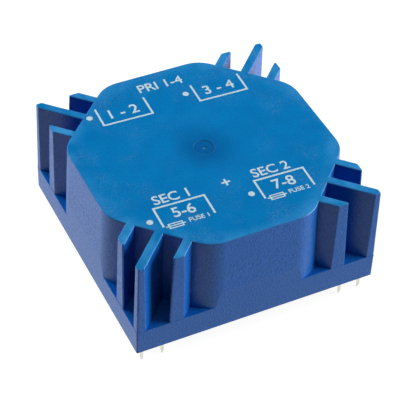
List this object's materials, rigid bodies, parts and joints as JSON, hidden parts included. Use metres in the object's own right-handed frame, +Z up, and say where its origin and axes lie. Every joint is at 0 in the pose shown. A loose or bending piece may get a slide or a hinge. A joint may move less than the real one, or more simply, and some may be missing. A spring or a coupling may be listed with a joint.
{
  "type": "pcb transformer",
  "caption": "Low square encapsulated toroidal transformer in a blue plastic box with finned corners and solder pins underneath, for mounting on a circuit board.",
  "frame": {"origin": "centre of the seating face, the underside of the box's rim; the pins reach below it", "axes": "+Z up, out of the board; +X and +Y along the sides of the box, with the pin rows parallel to X and the primary pins on the +Y side"},
  "size_m": [0.06, 0.06, 0.031],
  "materials": {
    "housing_plastic": "moulded satin blue thermoplastic with a fine grain",
    "potting_resin": "cast dark resin, slightly glossy",
    "core_steel": "wound electrical steel strip",
    "insulating_tape": "wrapped polyester film tape",
    "enamelled_copper": "enamelled copper wire, wound in a layer",
    "tinned_pin": "tinned wire",
    "lead_sleeve": "woven and varnished insulating sleeve"
  },
  "bodies": {
    "root": {"housing": "housing_plastic", "potting_compound": "potting_resin", "toroidal_core": "core_steel", "core_insulation": "insulating_tape", "interwinding_insulation": "insulating_tape", "outer_tape_wrap": "insulating_tape", "primary_winding_1": "enamelled_copper", "primary_winding_2": "enamelled_copper", "secondary_winding_1": "enamelled_copper", "secondary_winding_2": "enamelled_copper", "primary_pin_1": "tinned_pin", "primary_pin_2": "tinned_pin", "primary_pin_3": "tinned_pin", "primary_pin_4": "tinned_pin", "secondary_pin_1": "tinned_pin", "secondary_pin_2": "tinned_pin", "secondary_pin_3": "tinned_pin", "secondary_pin_4": "tinned_pin", "primary_lead_sleeve_1": "lead_sleeve", "primary_lead_sleeve_2": "lead_sleeve", "primary_lead_sleeve_3": "lead_sleeve", "primary_lead_sleeve_4": "lead_sleeve"}
  },
  "joints": []
}
